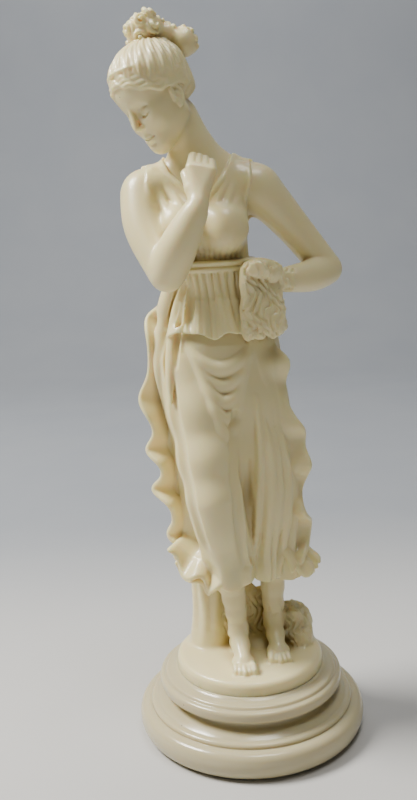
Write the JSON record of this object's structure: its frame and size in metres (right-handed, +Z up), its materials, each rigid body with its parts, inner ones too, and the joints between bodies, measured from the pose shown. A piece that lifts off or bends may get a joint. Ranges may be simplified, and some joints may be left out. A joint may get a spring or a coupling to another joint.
{
  "type": "resin goddess statuette",
  "caption": "Cast ivory resin statuette of a draped goddess with bowed head, one hand at her breast and one at her hip, on a round turned plinth.",
  "frame": {"origin": "centre of the plinth's round underside, on the surface that it stands on", "axes": "+Z up, -Y towards the front, the way the figure's body faces, +X to the viewer's right from the front"},
  "size_m": [0.094, 0.094, 0.2828],
  "materials": {
    "figure_resin": "satin ivory cast resin, ochre in the deep folds",
    "plinth_resin": "polished ivory cast resin"
  },
  "bodies": {
    "root": {"figure": "figure_resin", "plinth": "plinth_resin"}
  },
  "joints": []
}
